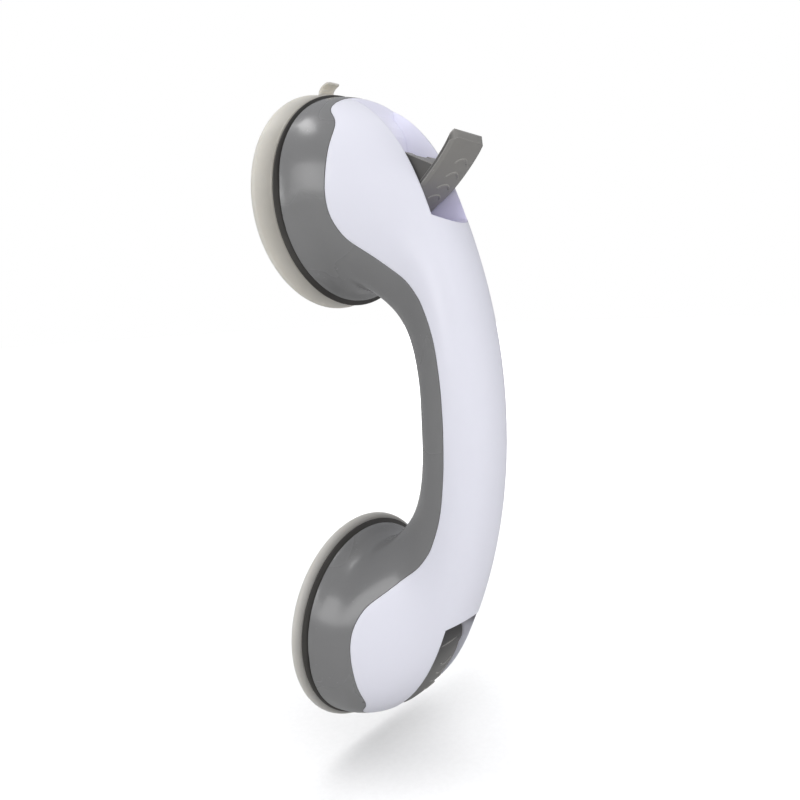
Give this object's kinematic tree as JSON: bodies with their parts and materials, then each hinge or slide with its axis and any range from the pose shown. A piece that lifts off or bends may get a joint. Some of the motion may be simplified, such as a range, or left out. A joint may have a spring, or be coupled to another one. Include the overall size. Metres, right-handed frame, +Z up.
{
  "type": "suction grab bar",
  "caption": "Arched hand grip on two rubber suction cups; flip levers with cams draw each cup's middle off the wall to lock it.",
  "frame": {"origin": "centre of the locked lower cup's sealing face, on the wall plane y = 0", "axes": "+Z up the bar from the lower cup to the upper one, +Y into the wall, so the hand grip stands out towards -Y, +X to the right seen from the front"},
  "size_m": [0.0974, 0.0879, 0.2991],
  "materials": {
    "housing_grey": "glossy moulded ABS, mid grey",
    "cover_white": "satin-gloss moulded ABS, cool white",
    "lever_grey": "fine-textured moulded nylon, dark warm grey",
    "stem_nylon": "moulded glass-filled nylon",
    "ring_black": "black moulded bearing ring under each foot",
    "steel": "plain stainless steel",
    "spring_steel": "drawn spring steel wire",
    "screw_zinc": "zinc-plated steel",
    "rubber_upper": "soft translucent beige-grey TPR",
    "rubber_lower": "soft translucent light grey TPR"
  },
  "bodies": {
    "housing": {"rear_housing": "housing_grey", "front_cover": "cover_white", "upper_suction_cup": "rubber_upper", "upper_foot_ring": "ring_black", "upper_return_spring": "spring_steel", "upper_spring_washer": "steel", "upper_cam_plate": "steel", "upper_cover_screws": "screw_zinc", "lower_suction_cup": "rubber_lower", "lower_foot_ring": "ring_black", "lower_return_spring": "spring_steel", "lower_spring_washer": "steel", "lower_cam_plate": "steel", "lower_cover_screws": "screw_zinc"},
    "upper_stem": {"upper_stem": "stem_nylon", "upper_pivot_pin": "steel", "upper_pin_clip": "spring_steel"},
    "upper_lever": {"upper_lever": "lever_grey"},
    "lower_stem": {"lower_stem": "stem_nylon", "lower_pivot_pin": "steel", "lower_pin_clip": "spring_steel"},
    "lower_lever": {"lower_lever": "lever_grey"}
  },
  "joints": [
    {"name": "upper_stem_slide", "type": "slide", "parent": "housing", "child": "upper_stem", "axis": [0, -1, 0], "range_m": [0, 0.0045], "deforming": ["upper_return_spring", "upper_suction_cup"]},
    {"name": "upper_lever_hinge", "type": "hinge", "parent": "upper_stem", "child": "upper_lever", "pos_m": [0, -0.0383, 0.1968], "axis": [-1, 0, 0], "range_deg": [0, 84]},
    {"name": "lower_stem_slide", "type": "slide", "parent": "housing", "child": "lower_stem", "axis": [0, 1, 0], "range_m": [0, 0.0045], "deforming": ["lower_return_spring", "lower_suction_cup"]},
    {"name": "lower_lever_hinge", "type": "hinge", "parent": "lower_stem", "child": "lower_lever", "pos_m": [0, -0.0428, 0], "axis": [-1, 0, 0], "range_deg": [0, 84]}
  ],
  "couplings": [
    {"joint": "upper_lever_hinge", "follows": "upper_stem_slide", "rad_per_m": 325.79},
    {"joint": "lower_lever_hinge", "follows": "lower_stem_slide", "rad_per_m": 325.79}
  ]
}
